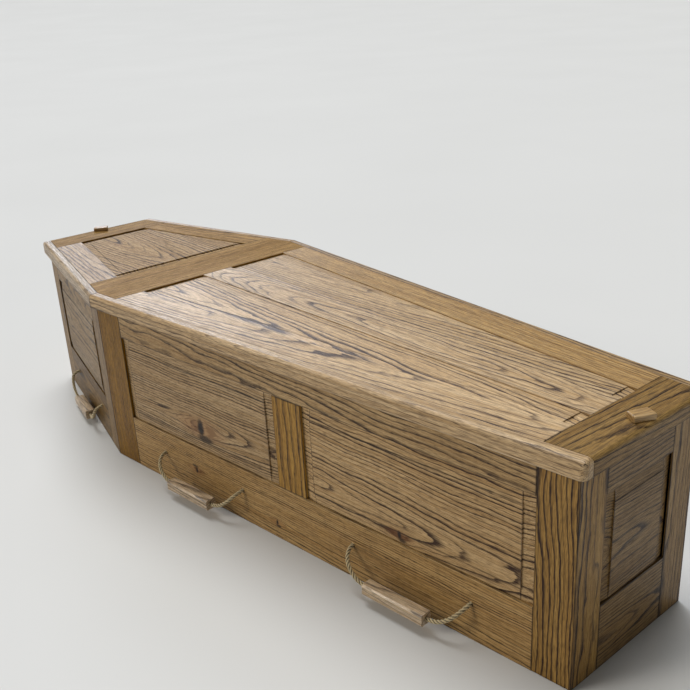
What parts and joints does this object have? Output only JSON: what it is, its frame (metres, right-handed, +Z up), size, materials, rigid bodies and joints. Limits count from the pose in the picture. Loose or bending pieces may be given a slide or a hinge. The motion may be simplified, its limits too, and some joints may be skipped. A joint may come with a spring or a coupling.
{
  "type": "wooden coffin",
  "caption": "Six-sided oak coffin of framed raised panels, with an overhanging lift-off lid, small peg blocks on the lid, and wooden grips hung on rope loops.",
  "frame": {"origin": "on the ground, under the middle of the whole object's box", "axes": "+X along the coffin towards the foot end, +Y towards the far side, +Z up"},
  "size_m": [2, 0.6834, 0.471],
  "materials": {
    "oak_frame": "satin varnish",
    "oak_cross_rail": "satin varnish",
    "oak_panel": "satin varnish",
    "oak_small": "satin varnish",
    "oak_inside": "planed, thinly oiled",
    "rope": "laid natural fibre"
  },
  "bodies": {
    "root": {"lid_head_rail": "oak_cross_rail", "lid_mid_rail": "oak_cross_rail", "lid_foot_rail": "oak_cross_rail", "lid_head_stile_near": "oak_frame", "lid_head_stile_far": "oak_frame", "lid_leg_stile_near": "oak_frame", "lid_leg_stile_far": "oak_frame", "lid_muntin": "oak_frame", "lid_head_panel": "oak_panel", "lid_leg_panel_near": "oak_panel", "lid_leg_panel_far": "oak_panel", "lid_short_edge_near": "oak_frame", "lid_short_edge_far": "oak_frame", "lid_long_edge_near": "oak_frame", "lid_long_edge_far": "oak_frame", "head_peg": "oak_small", "foot_peg": "oak_small", "bottom_board": "oak_inside", "head_corner_near": "oak_frame", "head_corner_far": "oak_frame", "foot_corner_near": "oak_frame", "foot_corner_far": "oak_frame", "head_top_rail": "oak_frame", "head_bottom_rail": "oak_frame", "head_panel": "oak_panel", "foot_top_rail": "oak_frame", "foot_bottom_rail": "oak_frame", "foot_panel": "oak_panel", "short_shoulder_stile_near": "oak_frame", "short_top_rail_near": "oak_frame", "short_bottom_rail_near": "oak_frame", "short_panel_near": "oak_panel", "short_shoulder_stile_far": "oak_frame", "short_top_rail_far": "oak_frame", "short_bottom_rail_far": "oak_frame", "short_panel_far": "oak_panel", "long_shoulder_stile_near": "oak_frame", "long_muntin_near": "oak_frame", "long_top_rail_near": "oak_frame", "long_bottom_rail_near": "oak_frame", "long_shoulder_panel_near": "oak_panel", "long_foot_panel_near": "oak_panel", "long_shoulder_stile_far": "oak_frame", "long_muntin_far": "oak_frame", "long_top_rail_far": "oak_frame", "long_bottom_rail_far": "oak_frame", "long_shoulder_panel_far": "oak_panel", "long_foot_panel_far": "oak_panel", "short_grip_near": "oak_small", "shoulder_grip_near": "oak_small", "foot_grip_near": "oak_small", "short_grip_far": "oak_small", "shoulder_grip_far": "oak_small", "foot_grip_far": "oak_small", "short_rope_near": "rope", "shoulder_rope_near": "rope", "foot_rope_near": "rope", "short_rope_far": "rope", "shoulder_rope_far": "rope", "foot_rope_far": "rope"}
  },
  "joints": []
}
